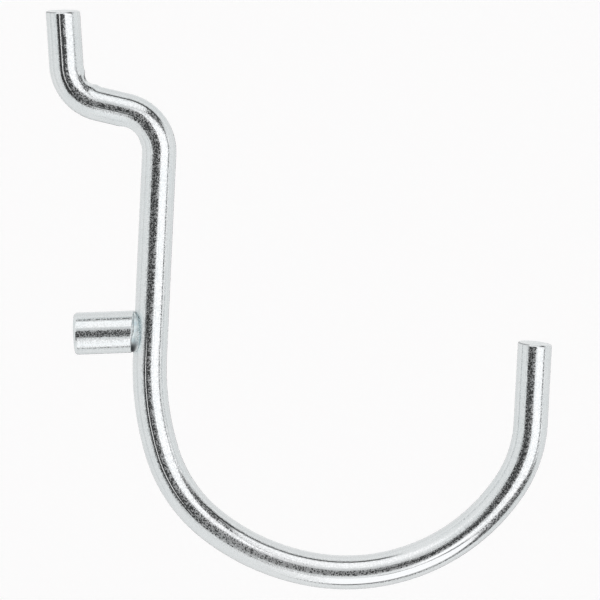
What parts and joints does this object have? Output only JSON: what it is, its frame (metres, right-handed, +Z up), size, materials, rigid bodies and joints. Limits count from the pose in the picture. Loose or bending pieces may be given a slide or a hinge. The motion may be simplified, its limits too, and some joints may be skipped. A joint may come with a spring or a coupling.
{
  "type": "pegboard hook",
  "caption": "Curved wire hook for perforated board: an upturned prong and a short welded peg fit the board's holes, and a wide open U carries a tool, coil or handle.",
  "frame": {"origin": "on the lower peg's axis, in the plane of the board's front face where the shank's back lies on it", "axes": "+X away from the board towards the hook's tip, +Z up along the shank, Y across the wire's plane"},
  "size_m": [0.058, 0.0046, 0.0635],
  "materials": {
    "zinc_wire": "bright zinc plating on drawn wire",
    "zinc_peg": "bright zinc plating, duller on the weld"
  },
  "bodies": {
    "root": {"hook_wire": "zinc_wire", "locating_peg": "zinc_peg"}
  },
  "joints": []
}
